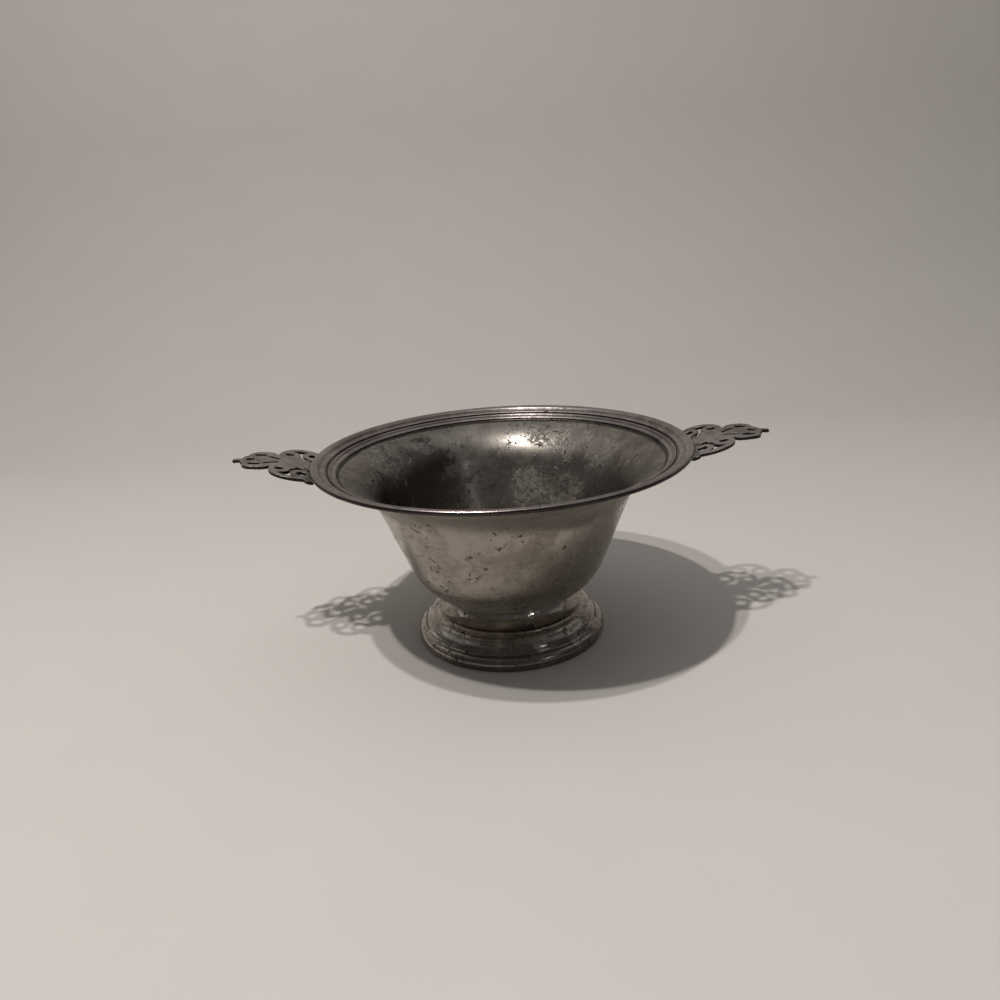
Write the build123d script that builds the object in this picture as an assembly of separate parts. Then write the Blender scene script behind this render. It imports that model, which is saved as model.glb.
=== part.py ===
from build123d import *
import os
from math import asin, atan2, cos, degrees, radians, sin, sqrt

# Two-handled footed pewter bowl (a porringer), in millimetres.
# Z is up, the table is z = 0, the bowl's axis is Z and the two ears lie along X.
# The bowl and the foot are spun from sheet, the ears are cast, and solder joins them.

# Foot: a hollow base with stepped ring mouldings and a coved neck that carries the bowl
foot_base_radius = 53.1
foot_band_height = 3.6
foot_edge_round = 0.6
flange_width, flange_rise = 4.2, 4.0
low_ring_width, low_ring_rise = 3.1, 4.5
high_ring_width, high_ring_rise = 4.2, 3.4
top_bead_width, top_bead_rise = 2.4, 0.9
ring_groove_width = 0.5
ring_bulge_depth = 0.7
neck_radius = 31.8
neck_wall = 3.0
cove_sag = 1.5
foot_wall = 2.2

# Bowl: a bell of even wall with a flared, reeded lip and a rounded rim bead (heights above its floor)
bowl_floor = 21.0
bowl_wall = 1.8
side_start_radius = 45.4
belly_fillet = 38.0
waist_radius, waist_height = 72.4, 70.1
waist_fillet = 33.0
knee_fillet = 12.0
lip_width, lip_rise = 7.0, 3.4
rim_radius = 101.6
rim_bead_height = 84.6
rim_bead_radius = 1.25
reed_band_width = 12.9
inner_reed_width, inner_reed_height = 3.2, 0.7
middle_reed_width, middle_reed_height = 2.0, 0.45
outer_reed_width, outer_reed_height = 3.4, 0.5
edge_reed_height = 0.8
reed_sink = 0.2
lip_groove_radius, lip_groove_depth = 0.75, 0.6

# Ears: cast plates of pierced scrollwork that arch up and out from under the rim bead.
# Places on the plan are measured outward from the rim edge (along) and to each side (across).
ear_length = 42.6
ear_thickness = 1.8
ear_drop = 3.05
ear_rise_angle = 18.5
right_bend_radius = 105.0
left_bend_radius = 130.0
ear_tuck = 5.6
panel_root_half_width = 10.0
panel_waist_half_width = 7.0
panel_root_end, panel_waist_start, panel_waist_end, panel_end = 1.5, 5.5, 16.5, 24.0
panel_end_half_width = 10.2
pin_hole_radius = 1.2
pin_hole_along, pin_hole_across = 2.4, 6.6
lobe_along, lobe_across = 7.9, 12.6
lobe_radius = 12.6
lobe_band = 3.4
outer_curl_along, outer_curl_across = 15.0, 12.8
outer_curl_radius = 5.6
outer_eye_radius = 2.3
rim_curl_along, rim_curl_across = 3.0, 15.8
rim_curl_radius = 5.8
rim_eye_radius = 2.6
bridge_along, bridge_across = 9.8, 8.6
bridge_radius = 2.4
heel_along, heel_across = -1.8, 22.6
heel_radius = 2.4
wing_along, wing_across = 28.1, 7.7
wing_length, wing_width, wing_corner = 15.4, 12.6, 6.2
wing_eye_along, wing_eye_across = 29.4, 8.0
wing_eye_length, wing_eye_width = 6.4, 3.8
vein_along, vein_across = 21.4, 4.3
vein_length, vein_width, vein_angle = 8.6, 2.0, 30.0
crown_along, crown_across = 34.0, 2.9
crown_radius = 4.0
crown_hole_along, crown_hole_radius = 33.2, 2.2
tip_half_width = 1.4

# Solder: a ring under the bowl, and a fillet along each ear's root and heels
solder_film = 0.4
solder_margin = 0.6
solder_gap = 0.05
solder_toe = 2.4
solder_inset = 1.2
solder_bite = 1.5
heel_seam_half_angle = 1.1

rim_bead_centre = rim_radius - rim_bead_radius
rim_bead_level = bowl_floor + rim_bead_height
knee_radius = rim_radius - lip_width
knee_height = rim_bead_height - lip_rise
reed_inner_edge = rim_radius - reed_band_width
lip_slope = (rim_bead_height - bowl_wall / 2 - knee_height) / (rim_bead_centre - knee_radius)
flare_slope = (knee_height - waist_height) / (knee_radius - waist_radius)
ear_root_level = rim_bead_level - ear_drop


def revolved(section, angle=360):
    """A ring or a sector of one from a section drawn in radius and height."""
    return revolve(Plane.XZ * section, Axis.Z, angle)


def bulged(start, end, bulge):
    """An arc from start to end that stands proud of its chord on the outer side."""
    chord = Vector(*end) - Vector(*start)
    outward = Vector(chord.Y, -chord.X).normalized()
    middle = (Vector(*start) + Vector(*end)) / 2 + outward * bulge
    return ThreePointArc(start, (middle.X, middle.Y), end)


def bell_line():
    """The bowl's outer line from its axis to the rim bead, in radius and height."""
    return FilletPolyline(
        (0, bowl_floor),
        (side_start_radius, bowl_floor),
        (waist_radius, bowl_floor + waist_height),
        (knee_radius, bowl_floor + knee_height),
        (rim_bead_centre, lip_underside(rim_bead_centre)),
        radius=[belly_fillet, waist_fillet, knee_fillet],
    )


def bell_room(clearance):
    """All that lies above the bowl's outer line, let down by a clearance, in section."""
    rim_level = lip_underside(rim_bead_centre)
    room = make_face(bell_line() + Polyline((rim_bead_centre, rim_level), (0, rim_level), (0, bowl_floor)))
    return Pos(0, -clearance) * room


def make_foot():
    """The foot: base band, ovolo flange, two rings and a bead, then a cove up to the bowl."""
    radius, height = foot_base_radius, foot_band_height
    inside_radius = foot_base_radius - foot_wall - foot_edge_round
    inside = [(inside_radius, 0), (inside_radius, height)]
    outline = Polyline(
        (inside_radius, 0),
        (radius - foot_edge_round, 0),
        (radius, foot_edge_round),
        (radius, height),
    )
    for width, rise in (
        (flange_width, flange_rise),
        (low_ring_width, low_ring_rise),
        (high_ring_width, high_ring_rise),
        (top_bead_width, top_bead_rise),
    ):
        start = (radius, height)
        radius, height = radius - width, height + rise
        crest = (radius + ring_groove_width, height)
        outline += bulged(start, crest, ring_bulge_depth)
        outline += Line(crest, (radius, height))
        inside.append((radius - foot_wall, height - foot_wall / 2))
    bore = neck_radius - neck_wall
    inside.append((bore, height))
    neck_level = bowl_floor + 2 * bowl_wall
    outline += bulged((radius, height), (neck_radius, neck_level), -cove_sag)
    outline += Polyline((neck_radius, neck_level), (bore, neck_level), *reversed(inside))
    return revolved(make_face(outline) - bell_room(solder_film))


def lip_underside(radius):
    """Height of the lip's straight underside, outside the knee or inside it."""
    slope = lip_slope if radius > knee_radius else flare_slope
    return bowl_floor + knee_height + (radius - knee_radius) * slope


def lip_point(radius, height):
    """The point over a radius of the lip's underside, at a height square to it."""
    slope = lip_slope if radius > knee_radius else flare_slope
    return Vector(radius, lip_underside(radius)) + Vector(-slope, 1).normalized() * height


def reed(start_radius, end_radius, height):
    """A rounded reed on the lip's upper face, in section: an arc over a chord sunk into the sheet."""
    start = lip_point(start_radius, bowl_wall - reed_sink)
    end = lip_point(end_radius, bowl_wall - reed_sink)
    chord = end - start
    crest = (start + end) / 2 + Vector(-chord.Y, chord.X).normalized() * (height + reed_sink)
    return make_face(ThreePointArc(start, crest, end) + Line(end, start))


def lip_groove(radius):
    """A groove in the lip's upper face, in section, as a round-nosed tool cuts it."""
    centre = lip_point(radius, bowl_wall - lip_groove_depth + lip_groove_radius)
    return Pos(centre.X, centre.Y) * Circle(lip_groove_radius)


def make_bowl():
    """The bowl: an even sheet along the bell line, four reeds and two grooves on the lip, a rim bead."""
    section = make_face(offset(bell_line(), amount=bowl_wall, side=Side.LEFT))
    middle_start = reed_inner_edge + inner_reed_width
    outer_start = middle_start + middle_reed_width
    edge_start = outer_start + outer_reed_width
    section += reed(reed_inner_edge, middle_start, inner_reed_height)
    section += reed(middle_start, outer_start, middle_reed_height)
    section += reed(outer_start, edge_start, outer_reed_height)
    section += reed(edge_start, rim_bead_centre + rim_bead_radius / 2, edge_reed_height)
    section += Pos(rim_bead_centre, rim_bead_level) * Circle(rim_bead_radius)
    return revolved(section - lip_groove(reed_inner_edge) - lip_groove(outer_start))


def disc(along, across, radius):
    return Pos(along, across) * Circle(radius)


def half_ear_plan():
    """One side of the ear in plan: lobe with two curls, heel, wing and half the crown."""
    half = disc(lobe_along, lobe_across, lobe_radius)
    half -= disc(lobe_along, lobe_across, lobe_radius - lobe_band)
    half += disc(outer_curl_along, outer_curl_across, outer_curl_radius)
    half += disc(rim_curl_along, rim_curl_across, rim_curl_radius)
    half += disc(bridge_along, bridge_across, bridge_radius)
    half += disc(heel_along, heel_across, heel_radius)
    half += Pos(wing_along, wing_across) * RectangleRounded(wing_length, wing_width, wing_corner)
    half += disc(crown_along, crown_across, crown_radius)
    half += make_face(
        Polyline(
            (-ear_tuck, 0),
            (-ear_tuck, panel_root_half_width),
            (panel_root_end, panel_root_half_width),
            (panel_waist_start, panel_waist_half_width),
            (panel_waist_end, panel_waist_half_width),
            (lobe_along + lobe_radius, panel_end_half_width),
            (panel_end, panel_end_half_width),
            (panel_end, 0),
            close=True,
        )
    )
    half += make_face(
        Polyline(
            (panel_end, 0),
            (panel_end, tip_half_width),
            (ear_length, tip_half_width),
            (ear_length, 0),
            close=True,
        )
    )
    half -= disc(outer_curl_along, outer_curl_across, outer_eye_radius)
    half -= disc(rim_curl_along, rim_curl_across, rim_eye_radius)
    half -= disc(pin_hole_along, pin_hole_across, pin_hole_radius)
    half -= Pos(wing_eye_along, wing_eye_across) * SlotOverall(wing_eye_length, wing_eye_width)
    half -= Pos(vein_along, vein_across) * Rot(0, 0, vein_angle) * SlotOverall(vein_length, vein_width)
    return half


def bend_centre(bend_radius):
    """Middle of an ear's bend, in radius and height, for an ear that points along X."""
    rise = radians(ear_rise_angle)
    return rim_radius + bend_radius * sin(rise), ear_root_level - bend_radius * cos(rise)


def make_ear(bend_radius):
    """An ear that points along X: its plan cut from a plate that is bent round an axis along Y."""
    half = half_ear_plan()
    plan = half + mirror(half, Plane.XZ)
    plan -= disc(crown_hole_along, 0, crown_hole_radius)
    centre_x, centre_z = bend_centre(bend_radius)
    prism = Pos(rim_radius, 0, centre_z) * extrude(plan, amount=2 * bend_radius)
    width = 4 * lobe_radius + 4 * lobe_across
    plate = Cylinder(bend_radius, width) - Cylinder(bend_radius - ear_thickness, width)
    ear = prism & (Pos(centre_x, 0, centre_z) * Rot(90, 0, 0) * plate)
    return ear - Cylinder(rim_radius - ear_tuck, 4 * rim_bead_level)


def ear_top(radius, bend_radius):
    """Height of an ear's upper face on its middle line."""
    centre_x, centre_z = bend_centre(bend_radius)
    return centre_z + sqrt(bend_radius**2 - (radius - centre_x) ** 2)


def seam_section(bend_radius):
    """Solder under the rim bead, in radius and height: lip above, ear below, a hollow face outside."""
    inner = rim_radius - ear_tuck + solder_inset
    toe = (rim_radius + solder_toe, ear_top(rim_radius + solder_toe, bend_radius))
    climb = (rim_radius - rim_bead_radius / 4, rim_bead_level - rim_bead_radius / 3)
    hollow = ((toe[0] + 2 * climb[0]) / 3, (2 * toe[1] + climb[1]) / 3)
    section = make_face(
        Polyline(
            climb,
            (rim_bead_centre, lip_underside(rim_bead_centre) - solder_gap),
            (inner, lip_underside(inner) - solder_gap),
            (inner, ear_top(inner, bend_radius) - solder_bite),
            (toe[0], toe[1] - solder_bite),
            toe,
        )
        + ThreePointArc(toe, hollow, climb)
    )
    bead_room = Circle(rim_bead_radius + solder_gap)
    return section - Pos(rim_bead_centre, rim_bead_level) * bead_room


def ear_seam(ear, bend_radius, middle_angle, half_angle):
    """One solder seam on an ear that points along X, lying on the ear's upper face."""
    sector = Rot(0, 0, middle_angle - half_angle) * revolved(seam_section(bend_radius), 2 * half_angle)
    return (sector - ear).solids().sort_by(Axis.Z)[-1]


def make_foot_solder():
    """The ring of solder between the foot's neck and the bowl's underside."""
    outer = neck_radius - solder_margin
    inner = neck_radius - neck_wall + solder_margin
    band = Pos((inner + outer) / 2, bowl_floor) * Rectangle(outer - inner, 4 * bowl_wall)
    return revolved((band & bell_room(solder_film - solder_gap)) - bell_room(solder_gap))


nodes = {"foot": make_foot(), "foot_solder": make_foot_solder(), "bowl": make_bowl()}
root_angle = degrees(asin(panel_root_half_width / (rim_radius + solder_toe)))
heel_angle = degrees(atan2(heel_across, rim_radius + heel_along))
for side, turn, bend, front in (("right", 0, right_bend_radius, -1), ("left", 180, left_bend_radius, 1)):
    ear = make_ear(bend)
    in_place = Rot(0, 0, turn)
    nodes[f"{side}_handle"] = in_place * ear
    nodes[f"{side}_root_solder"] = in_place * ear_seam(ear, bend, 0, root_angle)
    for end, turned in (("front", front), ("back", -front)):
        seam = ear_seam(ear, bend, turned * heel_angle, heel_seam_half_angle)
        nodes[f"{side}_{end}_heel_solder"] = in_place * seam

os.makedirs("parts", exist_ok=True)
for name, shape in nodes.items():
    export_step(shape, f"parts/{name}.step")
    size = shape.bounding_box().size
    print(f"{name}: {len(shape.solids())} solids, {shape.volume:.1f} mm3, {size.X:.1f} x {size.Y:.1f} x {size.Z:.1f}")
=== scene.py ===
# %% [markdown]
# A two-handled footed pewter bowl, in cells.
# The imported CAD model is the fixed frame: it says where each piece is and how big it is.
# Here the turned pieces are turned again on a Blender lathe, so that reflections run smoothly,
# the cast ears get the soft edges of a casting, and every piece gets aged metal.

from math import ceil, cos, pi, radians, sin

import bmesh
import bpy
from mathutils import Matrix, Vector, noise


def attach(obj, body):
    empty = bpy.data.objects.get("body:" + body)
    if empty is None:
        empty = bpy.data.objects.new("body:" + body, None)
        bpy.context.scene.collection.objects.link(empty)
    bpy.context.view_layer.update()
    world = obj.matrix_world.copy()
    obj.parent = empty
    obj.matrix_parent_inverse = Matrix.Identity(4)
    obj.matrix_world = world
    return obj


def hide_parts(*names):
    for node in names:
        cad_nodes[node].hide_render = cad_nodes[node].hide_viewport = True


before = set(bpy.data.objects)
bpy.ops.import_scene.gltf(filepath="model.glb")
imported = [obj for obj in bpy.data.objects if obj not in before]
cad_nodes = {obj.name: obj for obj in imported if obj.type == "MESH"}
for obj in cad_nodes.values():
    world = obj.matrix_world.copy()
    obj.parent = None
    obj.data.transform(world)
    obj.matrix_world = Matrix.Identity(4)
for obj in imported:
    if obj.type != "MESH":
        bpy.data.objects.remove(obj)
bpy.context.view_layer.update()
print("CAD nodes:", ", ".join(sorted(cad_nodes)))

# %% [markdown]
# The camera stands in front of the bowl, a little above its rim, looks about 19 degrees down and
# leans slightly to one side. A tilt about X and then a roll about the camera's own axis says that
# more plainly than three angles would. The lens follows from the picture: a focal length of
# 810 pixels across 1000.

# %% Camera
scene = bpy.context.scene
camera_place = Vector((-0.0023, -0.4213, 0.2220))
degrees_down = 19.03
camera_tilt = radians(90.0 - degrees_down)
camera_roll = radians(-3.605)
focal_pixels, picture_pixels = 810.0, 1000.0
sensor_width = 36.0

camera_data = bpy.data.cameras.new("camera")
camera_data.sensor_width = sensor_width
camera_data.lens = sensor_width * focal_pixels / picture_pixels
camera = bpy.data.objects.new("camera", camera_data)
tilt = Matrix.Rotation(camera_tilt, 4, "X")
roll = Matrix.Rotation(camera_roll, 4, "Z")
camera.matrix_world = Matrix.Translation(camera_place) @ tilt @ roll
scene.collection.objects.link(camera)
scene.camera = camera
print("lens in mm:", round(camera_data.lens, 2))

# %% [markdown]
# A turned piece is the same line all the way round, and the CAD mesh holds that line along its
# seam, where the angle is zero. Reading it there keeps every size exactly as it was drawn.
# The seam's edges come in no order, so they are walked from one end to the other. The bowl's flat
# floor is a disc with no seam of its own, so its line is carried on to the axis at both ends.

# %% Read a turned piece's line from its seam
touching = 1e-6


def seam_line(node_name):
    """The points (radius, height) along a turned node's seam, in order."""
    mesh = bmesh.new()
    mesh.from_mesh(cad_nodes[node_name].data)
    bmesh.ops.remove_doubles(mesh, verts=mesh.verts, dist=touching)
    links = {}
    for edge in mesh.edges:
        if all(abs(vert.co.y) < touching and vert.co.x > -touching for vert in edge.verts):
            first, second = edge.verts
            links.setdefault(first, []).append(second)
            links.setdefault(second, []).append(first)
    ends = [vert for vert in links if len(links[vert]) == 1]
    start = min(ends or links, key=lambda vert: (vert.co.x, vert.co.z))
    walked, before = [start], None
    while True:
        onward = [vert for vert in links[walked[-1]] if vert is not before and vert is not start]
        if not onward:
            break
        before = walked[-1]
        walked.append(onward[0])
    line = [(vert.co.x, vert.co.z) for vert in walked]
    mesh.free()
    if ends:
        return [(0.0, line[0][1]), *line, (0.0, line[-1][1])]
    return line + line[:1]


bowl_seam = seam_line("bowl")
foot_seam = seam_line("foot")
for node_name, seam in (("bowl", bowl_seam), ("foot", foot_seam)):
    print(node_name, "seam:", len(seam), "points from", seam[0], "to", seam[-1])

# %% [markdown]
# A subdivision surface rounds a corner by a share of the runs beside it, so the bowl's long
# straight runs are cut into short steps first. The foot's mouldings have gone soft with cleaning
# as well. Its line is cut into even short steps, and each point between the base and the neck then
# drifts towards its neighbours a few times, which wears the sharpest corners most.

# %% Cut the lines into steps
long_run = 0.006
run_slack = 0.1
worn_step = 0.0005
worn_passes = 6
worn_from, worn_to = 0.001, 0.019


def with_long_runs_cut(line):
    """The line with its straight runs cut into short steps; its curves already are."""
    cut = [line[0]]
    for (r0, z0), (r1, z1) in zip(line, line[1:]):
        length = Vector((r1 - r0, z1 - z0)).length
        steps = max(1, ceil(length / long_run - run_slack))
        cut += [(r0 + (r1 - r0) * i / steps, z0 + (z1 - z0) * i / steps) for i in range(1, steps + 1)]
    return cut


def with_worn_rings(loop):
    """A closed line in even short steps, with its corners worn down between two heights."""
    worn = []
    for start, end in zip(loop, loop[1:]):
        start, end = Vector(start), Vector(end)
        steps = max(1, round((end - start).length / worn_step))
        worn += [start.lerp(end, i / steps) for i in range(steps)]
    for _ in range(worn_passes):
        onward = worn[1:] + worn[:1]
        worn = [
            (worn[i - 1] + 2 * point + onward[i]) / 4 if worn_from < point.y < worn_to else point
            for i, point in enumerate(worn)
        ]
    return [tuple(point) for point in worn + worn[:1]]


bowl_line = with_long_runs_cut(bowl_seam)
foot_line = with_worn_rings(foot_seam)
print("points to turn:", len(bowl_line), "for the bowl,", len(foot_line), "for the foot")

# %% [markdown]
# The real bowl was spun from sheet over a wooden form, so a lathe is the natural way to make it.
# bmesh's spin turns the line about Z. A subdivision surface then rounds the many short steps of
# each curve, and creases hold the sharp rings, such as the grooves between the reeds.
# A few hundredths of a millimetre of unevenness keeps the reflections from looking machined.

# %% Turn the bowl and the foot
turn_steps = 96
rounding_levels = 1
sharp_ring = radians(24)
unevenness = 0.00010
waves_per_metre = 30.0
still_radius = 0.01


def show(mesh, name):
    """A bmesh as an object of the scene."""
    data = bpy.data.meshes.new(name)
    mesh.to_mesh(data)
    mesh.free()
    piece = bpy.data.objects.new(name, data)
    scene.collection.objects.link(piece)
    return piece


def turned(node_name, piece_name, line):
    """A piece turned from a line, that stands for a CAD node."""
    mesh = bmesh.new()
    verts = [mesh.verts.new((radius, 0.0, height)) for radius, height in line]
    edges = [mesh.edges.new(pair) for pair in zip(verts, verts[1:])]
    bmesh.ops.spin(
        mesh,
        geom=verts + edges,
        axis=(0, 0, 1),
        cent=(0, 0, 0),
        angle=2 * pi,
        steps=turn_steps,
        use_merge=True,
    )
    bmesh.ops.remove_doubles(mesh, verts=mesh.verts, dist=touching)
    bmesh.ops.recalc_face_normals(mesh, faces=mesh.faces)
    crease = mesh.edges.layers.float.new("crease_edge")
    for edge in mesh.edges:
        if edge.is_manifold and edge.calc_face_angle() > sharp_ring:
            edge[crease] = 1.0
    for vert in mesh.verts:
        across = Vector((vert.co.x, vert.co.y, 0.0))
        if across.length > still_radius:
            vert.co += across.normalized() * noise.noise(vert.co * waves_per_metre) * unevenness
    for face in mesh.faces:
        face.smooth = True
    piece = show(mesh, piece_name)
    rounding = piece.modifiers.new("round", "SUBSURF")
    rounding.levels = rounding_levels
    rounding.render_levels = rounding_levels
    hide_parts(node_name)
    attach(piece, "root")
    return piece


spun_bowl = turned("bowl", "spun_bowl", bowl_line)
turned_foot = turned("foot", "turned_foot", foot_line)
for piece in (spun_bowl, turned_foot):
    print(piece.name, "faces before rounding:", len(piece.data.polygons))

# %% [markdown]
# The ears were cast in a mould, so none of their edges is sharp. A voxel remesh turns the CAD
# plate into an even skin, and a little smoothing then rounds every edge and eye by about as much
# as a casting is rounded. Bevels would fail here, where so many small curves meet.

# %% Soften the cast ears
casting_voxel = 0.00025
casting_passes = 3
casting_share = 0.5


def softened_casting(node_name, piece_name):
    """A rounded copy of a CAD ear that stands for it."""
    mesh = bmesh.new()
    mesh.from_mesh(cad_nodes[node_name].data)
    bmesh.ops.remove_doubles(mesh, verts=mesh.verts, dist=touching)
    piece = show(mesh, piece_name)
    remesh = piece.modifiers.new("skin", "REMESH")
    remesh.mode = "VOXEL"
    remesh.voxel_size = casting_voxel
    remesh.use_smooth_shade = True
    smooth = piece.modifiers.new("soften", "SMOOTH")
    smooth.factor = casting_share
    smooth.iterations = casting_passes
    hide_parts(node_name)
    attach(piece, "root")
    return piece


right_ear = softened_casting("right_handle", "right_ear")
left_ear = softened_casting("left_handle", "left_ear")
print("ears:", right_ear.name, left_ear.name)

# %% [markdown]
# Old pewter is a metal, but a tired one: its colour drifts between bare grey and brown tarnish,
# its gloss drifts with it, and small pits gather in clusters. Each of those is a noise pattern in
# the object's own space, so nothing depends on the view. Small helpers keep the graph readable.
# The Mix node has a set of sockets for each kind of data, so its colour sockets go by number.

# %% Helpers for material nodes
mix_amount, mix_first_colour, mix_second_colour = 0, 6, 7
mixed_colour = 2


def node(tree, kind, inputs=None, **settings):
    """Adds a shader node; an input is a constant or another node's output."""
    made = tree.nodes.new("ShaderNode" + kind)
    for key, value in settings.items():
        setattr(made, key, value)
    for key, value in (inputs or {}).items():
        if isinstance(value, bpy.types.NodeSocket):
            tree.links.new(value, made.inputs[key])
        else:
            made.inputs[key].default_value = value
    return made


def step_up(tree, value, start, end):
    """0 before start, 1 past end, and a soft step between; start may be the larger of the two."""
    made = node(tree, "MapRange", {"Value": value, "From Min": start, "From Max": end})
    made.interpolation_type = "SMOOTHSTEP"
    return made.outputs["Result"]


def maths(tree, operation, first, second):
    """One sum of two numbers or outputs."""
    return node(tree, "Math", {0: first, 1: second}, operation=operation).outputs["Value"]


def vector_maths(tree, operation, first, second=(0.0, 0.0, 0.0)):
    """One sum of two vectors."""
    return node(tree, "VectorMath", {0: first, 1: second}, operation=operation)


def with_added(tree, start, shares):
    """A number plus patterns, each times its share."""
    total = start
    for pattern, share in shares:
        total = maths(tree, "ADD", total, maths(tree, "MULTIPLY", pattern, share))
    return total


def blended(tree, amount, first, second):
    """A colour between two colours."""
    inputs = {mix_amount: amount, mix_first_colour: first, mix_second_colour: second}
    return node(tree, "Mix", inputs, data_type="RGBA").outputs[mixed_colour]


def cloud(tree, place, scale, detail, roughness, distortion=0.0):
    """Noise of about one over scale metres across."""
    made = node(tree, "TexNoise", {"Vector": place, "Scale": scale, "Detail": detail})
    made.inputs["Roughness"].default_value = roughness
    made.inputs["Distortion"].default_value = distortion
    return made.outputs["Fac"]


print("material helpers ready")

# %% [markdown]
# Age leaves a few patterns on pewter, and all the pieces share them: broad tarnish, stains drawn
# out along the turning, pits in clusters, a pale crust, turning marks and wear on outer edges.
# Masks pick out grooves, for grime and painted shade, upright faces, for painted shade, and faces
# that look down. Squeezing the place in X and Y before it goes into a noise draws the noise out
# sideways. Ambient occlusion finds the grooves, and turned inside out it finds the edges.

# %% Patterns of age
sideways_squeeze = (0.45, 0.45, 1.0)
edge_reach, groove_reach = 0.0011, 0.0024
occlusion_samples = 6
noise_middle = 0.5


def hidden(tree, distance, inside):
    """Ambient occlusion of the piece alone: low in grooves, or on edges if taken inside."""
    found = node(tree, "AmbientOcclusion", {"Distance": distance}, inside=inside, only_local=True)
    found.samples = occlusion_samples
    return found.outputs["AO"]


def age_patterns(tree, tarnish_level, pit_level, crust_level):
    """The patterns that all the metals share, by name."""
    place = node(tree, "TexCoord").outputs["Object"]
    drawn_out = vector_maths(tree, "MULTIPLY", place, sideways_squeeze).outputs["Vector"]
    flat = vector_maths(tree, "MULTIPLY", place, (1.0, 1.0, 0.0)).outputs["Vector"]
    radius = vector_maths(tree, "LENGTH", flat).outputs["Value"]
    height = node(tree, "SeparateXYZ", {"Vector": place}).outputs["Z"]
    on_lathe = node(tree, "CombineXYZ", {"X": radius, "Z": height}).outputs["Vector"]
    facing = node(tree, "NewGeometry").outputs["Normal"]
    upward = node(tree, "SeparateXYZ", {"Vector": facing}).outputs["Z"]
    level = node(tree, "Math", {0: upward}, operation="ABSOLUTE").outputs["Value"]

    broad = cloud(tree, place, scale=24.0, detail=4.0, roughness=0.6, distortion=0.8)
    mottle = cloud(tree, place, scale=130.0, detail=6.0, roughness=0.70, distortion=0.4)
    drift = with_added(tree, 0.0, ((broad, 0.6), (mottle, 0.4)))
    stain = cloud(tree, drawn_out, scale=95.0, detail=8.0, roughness=0.74, distortion=0.6)
    pit = cloud(tree, place, scale=300.0, detail=5.0, roughness=0.65, distortion=0.6)
    cluster = cloud(tree, place, scale=42.0, detail=4.0, roughness=0.65, distortion=0.5)
    speckle = cloud(tree, place, scale=420.0, detail=6.0, roughness=0.75, distortion=0.5)
    crust = cloud(tree, place, scale=50.0, detail=6.0, roughness=0.68, distortion=0.6)
    return {
        "place": place,
        "mottle": mottle,
        "uneven": maths(tree, "SUBTRACT", mottle, noise_middle),
        "grain": cloud(tree, place, scale=900.0, detail=3.0, roughness=0.6),
        "marks": cloud(tree, on_lathe, scale=620.0, detail=2.0, roughness=0.5),
        "tarnished": step_up(tree, drift, start=tarnish_level - 0.09, end=tarnish_level + 0.11),
        "stained": step_up(tree, stain, start=0.54, end=0.66),
        "pits": step_up(tree, pit, start=0.57, end=0.63),
        "clusters": step_up(tree, cluster, start=1.0 - pit_level, end=1.1 - pit_level),
        "speckled": step_up(tree, speckle, start=0.42, end=0.60),
        "crust": step_up(tree, crust, start=1.0 - crust_level, end=1.1 - crust_level),
        "worn": step_up(tree, hidden(tree, edge_reach, inside=True), start=0.86, end=0.55),
        # Grooves, found by occlusion, take grime and painted shade.
        "in_grooves": step_up(tree, hidden(tree, groove_reach, inside=False), start=0.90, end=0.64),
        # Upright faces, which take painted shade on the ears.
        "on_side": step_up(tree, level, start=0.80, end=0.40),
        "underneath": step_up(tree, upward, start=-0.40, end=-0.75),
    }


print("patterns ready")

# %% [markdown]
# The largest dark patches, which are painted shade, and the largest crusts and pits can't be
# left to chance. Each is a patch: a point on the metal and a reach. The distance to the point makes
# a round patch, and adding some of the mottle to that distance first makes its edge ragged, as a
# stain's is.

# %% Patches at listed points
raggedness = 2.5
patch_core = 0.55


def near_any(tree, age, patches):
    """1 near the middle of any patch, and 0 beyond its reach, with a ragged edge."""
    found = 0.0
    for middle, reach in patches:
        away = vector_maths(tree, "DISTANCE", age["place"], middle).outputs["Value"]
        ragged = maths(tree, "MULTIPLY", age["uneven"], raggedness * reach)
        in_patch = step_up(tree, maths(tree, "ADD", away, ragged), start=reach, end=patch_core * reach)
        found = maths(tree, "MAXIMUM", found, in_patch)
    return found


print("patches ready")

# %% [markdown]
# One recipe lays the patterns over each other: colour from bare metal to tarnish and grime, with
# painted shade in listed patches, in grooves and on upright faces, gloss that goes where the
# tarnish is, and a fine relief. The pale crust isn't metal any more, so it scatters the lamps' light
# where the metal round it mirrors a dark room. A film of it is left underneath, where polishing
# doesn't reach. What differs between pieces is how much of each there is and where the large
# patches are: those are the arguments.

# %% Aged pewter
# A near-black for grime, and for painted shade in grooves and on upright faces.
shade_and_dirt = (0.014, 0.012, 0.010, 1.0)
pit_brown = (0.030, 0.024, 0.019, 1.0)
crust_cover = 0.7


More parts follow.
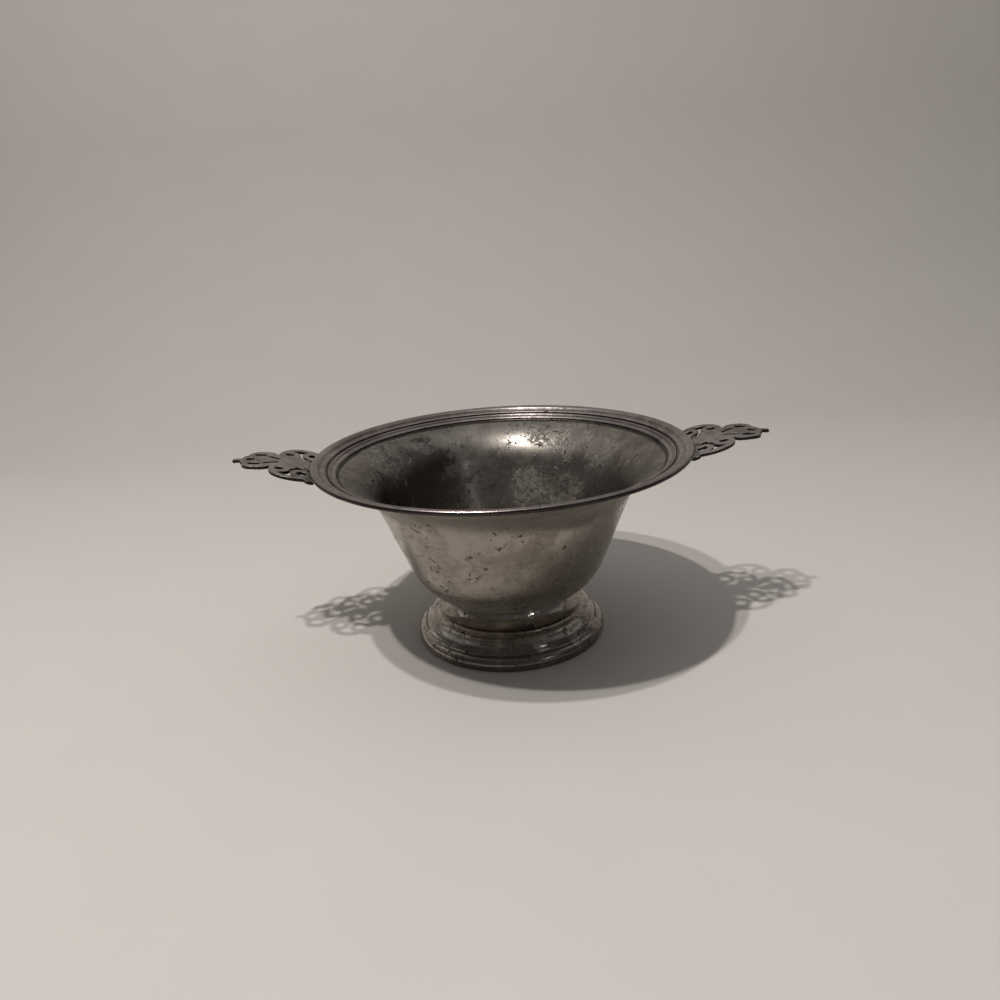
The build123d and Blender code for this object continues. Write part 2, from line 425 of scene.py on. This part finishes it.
def aged_pewter(
    name, bare, tarnish, stain, crust, roughness, tarnish_level, pit_level, crust_level=0.0,
    ring_depth=0.0, wear=0.0, groove_shade_and_dirt=0.85, painted_side_shade=0.0, under_crust=0.0,
    painted_shade_patches=(), pale_patches=(), pitted_patches=(),
):
    """A metal with tarnish, stains, pits, crust, turning marks, worn edges, grime and painted shade."""
    material = bpy.data.materials.new(name)
    material.use_nodes = True
    tree = material.node_tree
    tree.nodes.clear()
    age = age_patterns(tree, tarnish_level, pit_level, crust_level)
    crusted = maths(tree, "MAXIMUM", age["crust"], near_any(tree, age, pale_patches))
    crusted = maths(tree, "MULTIPLY", crusted, age["speckled"])
    crusted = maths(tree, "MAXIMUM", crusted, maths(tree, "MULTIPLY", age["underneath"], under_crust))
    pitted = maths(tree, "MAXIMUM", age["clusters"], near_any(tree, age, pitted_patches))
    pitted = maths(tree, "MULTIPLY", pitted, age["pits"])

    colour = blended(tree, age["tarnished"], bare, tarnish)
    for pattern, share, layer in (
        (age["stained"], 0.6, stain),
        # Painted shade: listed dark patches where the metal mirrors a dark room or a shadowed floor.
        (near_any(tree, age, painted_shade_patches), 0.8, stain),
        (crusted, crust_cover, crust),
        (age["worn"], wear, bare),
        # Grooves: grime and painted shade.
        (age["in_grooves"], groove_shade_and_dirt, shade_and_dirt),
        # Upright faces: painted shade.
        (age["on_side"], painted_side_shade, shade_and_dirt),
        (pitted, 0.8, pit_brown),
    ):
        colour = blended(tree, maths(tree, "MULTIPLY", pattern, share), colour, layer)

    roughening = (
        (age["tarnished"], 0.10),
        (age["stained"], 0.14),
        (pitted, 0.3),
        (crusted, 0.3),
        (age["uneven"], 0.5),
    )
    rough = with_added(tree, roughness, roughening)

    raising = (
        (age["mottle"], 0.5),
        (age["grain"], 0.15),
        (age["marks"], ring_depth),
        (pitted, -0.8),
        (crusted, 0.4),
    )
    relief = with_added(tree, 0.0, raising)
    bump = node(tree, "Bump", {"Height": relief, "Strength": 0.55, "Distance": 0.0003}).outputs["Normal"]

    shader = node(tree, "BsdfPrincipled", {"Base Color": colour, "Roughness": rough, "Normal": bump})
    metal_share = maths(tree, "SUBTRACT", 1.0, maths(tree, "MULTIPLY", crusted, crust_cover))
    tree.links.new(metal_share, shader.inputs["Metallic"])
    node(tree, "OutputMaterial", {"Surface": shader.outputs["BSDF"]})
    print(material.name, "nodes:", len(tree.nodes))
    return material


print("recipe ready")

# %% [markdown]
# Outside, the bowl has kept some of its shine. It is grey with brown clouds, and has a dull film
# under the flare. A few clusters of pits catch the eye on its front, and those are listed.
# The noise adds the rest.

# %% The bowl's outside
outside_pewter = aged_pewter(
    "outside_pewter",
    bare=(0.385, 0.351, 0.310, 1.0),
    tarnish=(0.262, 0.232, 0.195, 1.0),
    stain=(0.110, 0.092, 0.074, 1.0),
    crust=(0.160, 0.145, 0.120, 1.0),
    roughness=0.20,
    tarnish_level=0.50,
    pit_level=0.47,
    crust_level=0.42,
    ring_depth=0.2,
    under_crust=0.55,
    pitted_patches=(
        ((-0.015, -0.062, 0.068), 0.008),
        ((-0.019, -0.057, 0.058), 0.007),
        ((-0.040, -0.057, 0.083), 0.010),
        ((-0.001, -0.069, 0.083), 0.012),
        ((0.026, -0.058, 0.070), 0.006),
        ((-0.035, -0.045, 0.051), 0.010),
    ),
)

# %% [markdown]
# The reeded lip is a duller, slightly redder grey. Grime and painted shade in its grooves and bare
# metal on its worn reeds draw the rings. The rim's outer edge is painted nearly black: painted
# shade for the dark room it mirrors, over some tarnish. It is only a thin ring, so it needs no
# patches and no wear.

# %% The lip and the rim's edge
lip_pewter = aged_pewter(
    "lip_pewter",
    bare=(0.345, 0.306, 0.300, 1.0),
    tarnish=(0.210, 0.183, 0.177, 1.0),
    stain=(0.065, 0.055, 0.051, 1.0),
    crust=(0.165, 0.148, 0.141, 1.0),
    roughness=0.26,
    tarnish_level=0.49,
    pit_level=0.42,
    crust_level=0.40,
    ring_depth=0.2,
    wear=0.3,
    # Grime and painted shade in the grooves between the reeds.
    groove_shade_and_dirt=0.95,
)
# Painted shade: the rim's outer face gets a near-black colour for the dark room it mirrors, over some
# tarnish.
shaded_edge_pewter = aged_pewter(
    "shaded_edge_pewter",
    bare=(0.060, 0.053, 0.050, 1.0),
    tarnish=(0.040, 0.035, 0.032, 1.0),
    stain=(0.025, 0.022, 0.020, 1.0),
    crust=(0.060, 0.053, 0.050, 1.0),
    roughness=0.30,
    tarnish_level=0.50,
    pit_level=0.40,
)

# %% [markdown]
# Inside, one side of the wall is painted nearly black: painted shade, for the dark room that it
# mirrors there. A pale, pitted crust has grown on the other side and below the lip. Both are
# patches, because noise alone would not put them where they lie.

# %% The bowl's inside
inside_pewter = aged_pewter(
    "inside_pewter",
    bare=(0.265, 0.246, 0.224, 1.0),
    tarnish=(0.145, 0.130, 0.118, 1.0),
    stain=(0.036, 0.030, 0.027, 1.0),
    crust=(0.122, 0.114, 0.099, 1.0),
    roughness=0.30,
    tarnish_level=0.49,
    pit_level=0.50,
    crust_level=0.38,
    ring_depth=0.15,
    # Painted shade on the side of the wall that mirrors the dark room.
    painted_shade_patches=(
        ((-0.048, 0.042, 0.068), 0.042),
        ((-0.060, 0.015, 0.070), 0.030),
    ),
    pale_patches=(
        ((0.026, 0.071, 0.094), 0.012),
        ((0.044, 0.062, 0.093), 0.016),
        ((0.059, 0.041, 0.090), 0.014),
        ((0.016, 0.057, 0.064), 0.014),
        ((0.038, 0.047, 0.064), 0.014),
        ((-0.070, 0.036, 0.095), 0.020),
    ),
    pitted_patches=(
        ((0.032, 0.069, 0.095), 0.016),
        ((0.012, 0.079, 0.097), 0.012),
        ((0.036, 0.048, 0.065), 0.014),
    ),
)

# %% [markdown]
# The foot is the smoothest of the metals. It stands in the bowl's shadow, so what shows on it is
# mostly what it mirrors, and a rough metal would only look flat there. The front of its base
# carries painted shade, for the shadowed floor it mirrors there, and pits gather at its sides.

# %% The foot
foot_pewter = aged_pewter(
    "foot_pewter",
    bare=(0.490, 0.445, 0.404, 1.0),
    tarnish=(0.350, 0.312, 0.280, 1.0),
    stain=(0.150, 0.131, 0.115, 1.0),
    crust=(0.200, 0.180, 0.160, 1.0),
    roughness=0.07,
    tarnish_level=0.48,
    pit_level=0.54,
    crust_level=0.40,
    ring_depth=0.1,
    groove_shade_and_dirt=0.3,
    # Painted shade along the front of the base, where it mirrors the shadowed floor.
    painted_shade_patches=(
        ((-0.020, -0.050, 0.004), 0.018),
        ((0.003, -0.054, 0.004), 0.018),
        ((0.026, -0.048, 0.004), 0.018),
        ((0.043, -0.034, 0.004), 0.016),
    ),
    pitted_patches=(
        ((-0.041, -0.022, 0.010), 0.022),
        ((-0.028, -0.040, 0.010), 0.014),
        ((0.041, -0.016, 0.012), 0.022),
    ),
)

# %% [markdown]
# The ears were cast and never turned, so they have no turning marks. Their upright edges and the
# walls of their piercings carry painted shade, which is what lets the scrolls be read from afar.
# The solder is a plain, dull grey: so little of it shows that the noise is enough.

# %% The ears and the solder
ear_pewter = aged_pewter(
    "ear_pewter",
    bare=(0.300, 0.272, 0.263, 1.0),
    tarnish=(0.190, 0.168, 0.160, 1.0),
    stain=(0.070, 0.059, 0.055, 1.0),
    crust=(0.170, 0.150, 0.146, 1.0),
    roughness=0.32,
    tarnish_level=0.50,
    pit_level=0.42,
    crust_level=0.52,
    wear=0.4,
    # Painted shade on the upright edges and in the piercings.
    painted_side_shade=0.95,
)
solder_grey = aged_pewter(
    "solder_grey",
    bare=(0.200, 0.185, 0.175, 1.0),
    tarnish=(0.120, 0.110, 0.100, 1.0),
    stain=(0.050, 0.045, 0.040, 1.0),
    crust=(0.100, 0.090, 0.082, 1.0),
    roughness=0.36,
    tarnish_level=0.48,
    pit_level=0.40,
)

# %% [markdown]
# Each piece now takes its metal. The bowl has aged differently on each side: grey outside, dull on
# the reeded lip and dark inside, and round the rim's edge it carries painted shade, nearly black.
# A face's direction and radius say which side it is on, and the changes fall in grooves and on
# edges, where nothing shows.
# The solder seams keep their CAD shapes, which are already small hollow fillets.

# %% Give each piece its metal
lip_inner_radius = 0.0886
edge_inner_radius = 0.0990
outside, lip, rim_edge, inside = range(4)


def clad(piece, *materials):
    """Gives a piece its materials, in this order."""
    piece.data.materials.clear()
    for material in materials:
        piece.data.materials.append(material)


def bowl_side(face):
    """Which of the bowl's four metals a face shows."""
    across = Vector((face.center.x, face.center.y, 0.0))
    if face.normal.dot(across.normalized()) > face.normal.z:
        return rim_edge if across.length > edge_inner_radius else outside
    return lip if across.length > lip_inner_radius else inside


clad(spun_bowl, outside_pewter, lip_pewter, shaded_edge_pewter, inside_pewter)
for face in spun_bowl.data.polygons:
    face.material_index = bowl_side(face)
clad(turned_foot, foot_pewter)
clad(right_ear, ear_pewter)
clad(left_ear, ear_pewter)
seams = [name for name in cad_nodes if name.endswith("solder")]
for name in seams:
    clad(cad_nodes[name], solder_grey)
print("solder seams:", len(seams))

# %% [markdown]
# The stage is one pale sheet that lies flat under the bowl and sweeps up behind it, as in a
# product studio. The sweep hides the horizon, and the metal has something plain to mirror.

# %% Floor and backdrop
stage_half_width = 1.6
floor_front, sweep_start, sweep_radius, backdrop_top = -1.4, 0.45, 0.35, 1.6
sweep_steps = 16

stage_line = [(floor_front, 0.0), (sweep_start, 0.0)]
for i in range(1, sweep_steps + 1):
    angle = pi / 2 * i / sweep_steps
    stage_line.append((sweep_start + sweep_radius * sin(angle), sweep_radius * (1 - cos(angle))))
stage_line.append((sweep_start + sweep_radius, backdrop_top))
mesh = bmesh.new()
rows = [[mesh.verts.new((x, y, z)) for x in (-stage_half_width, stage_half_width)] for y, z in stage_line]
for near_row, far_row in zip(rows, rows[1:]):
    mesh.faces.new((near_row[0], near_row[1], far_row[1], far_row[0])).smooth = True
floor = show(mesh, "floor")
print("stage rows:", len(rows))

# %% [markdown]
# Paper is matt and never quite even. A faint, broad noise between two close greys is enough: any
# stronger pattern would draw the eye from the bowl.

# %% Paper
paper_dark, paper_light = (0.58, 0.555, 0.535, 1.0), (0.61, 0.585, 0.565, 1.0)

paper = bpy.data.materials.new("pale_paper")
paper.use_nodes = True
paper_tree = paper.node_tree
paper_shader = paper_tree.nodes["Principled BSDF"]
paper_place = node(paper_tree, "TexCoord").outputs["Object"]
tooth = cloud(paper_tree, paper_place, scale=14.0, detail=3.0, roughness=0.5)
paper_colour = blended(paper_tree, tooth, paper_dark, paper_light)
paper_tree.links.new(paper_colour, paper_shader.inputs["Base Color"])
paper_shader.inputs["Roughness"].default_value = 0.75
paper_shader.inputs["Specular IOR Level"].default_value = 0.2
clad(floor, paper)
print(paper.name, "nodes:", len(paper_tree.nodes))

# %% [markdown]
# Two small lamps hang side by side, high on the left and in front, so the pierced ears throw a
# double shadow to the right and back. Large lamps would blur that shadow away. A third, weak and
# low on the right, only puts small lights on the foot.

# %% Lamps
bowl_middle = (0.0, 0.0, 0.05)
warm, cool = (1.0, 0.95, 0.89), (0.95, 0.97, 1.0)


def soft_lamp(name, place, size, power, colour):
    """A square area lamp that looks at the bowl."""
    data = bpy.data.lights.new(name, "AREA")
    data.size = size
    data.energy = power
    data.color = colour
    lamp = bpy.data.objects.new(name, data)
    lamp.location = place
    lamp.rotation_euler = (Vector(bowl_middle) - Vector(place)).to_track_quat("-Z", "Y").to_euler()
    scene.collection.objects.link(lamp)
    return lamp


lamps = [
    soft_lamp("left lamp", place=(-0.30, -0.33, 1.42), size=0.035, power=7.6, colour=warm),
    soft_lamp("second lamp", place=(-0.385, -0.41, 1.29), size=0.035, power=6.8, colour=warm),
    soft_lamp("low lamp", place=(0.70, -0.84, 0.56), size=0.05, power=0.30, colour=cool),
]
print("lamps:", [(lamp.name, lamp.data.energy) for lamp in lamps])

# %% [markdown]
# Metal is as much a picture of the room as of itself. The world is that room, seen softly: dim in
# front, and lighter overhead and behind. How far a direction leans towards the light side is a dot
# product, and a soft step turns it into a shade.

# %% The room
light_side = (0.0, 0.6, 0.8)
low_grey, high_grey = (0.085, 0.083, 0.081, 1.0), (0.62, 0.605, 0.59, 1.0)

world = bpy.data.worlds.new("studio")
world.use_nodes = True
sky_tree = world.node_tree
direction = node(sky_tree, "TexCoord").outputs["Generated"]
overhead_and_behind = vector_maths(sky_tree, "DOT_PRODUCT", direction, light_side).outputs["Value"]
lightness = step_up(sky_tree, overhead_and_behind, start=0.25, end=0.85)
sky = blended(sky_tree, lightness, low_grey, high_grey)
sky_tree.links.new(sky, sky_tree.nodes["Background"].inputs["Color"])
scene.world = world
scene.view_settings.view_transform = "Standard"
print(world.name, "nodes:", len(sky_tree.nodes))
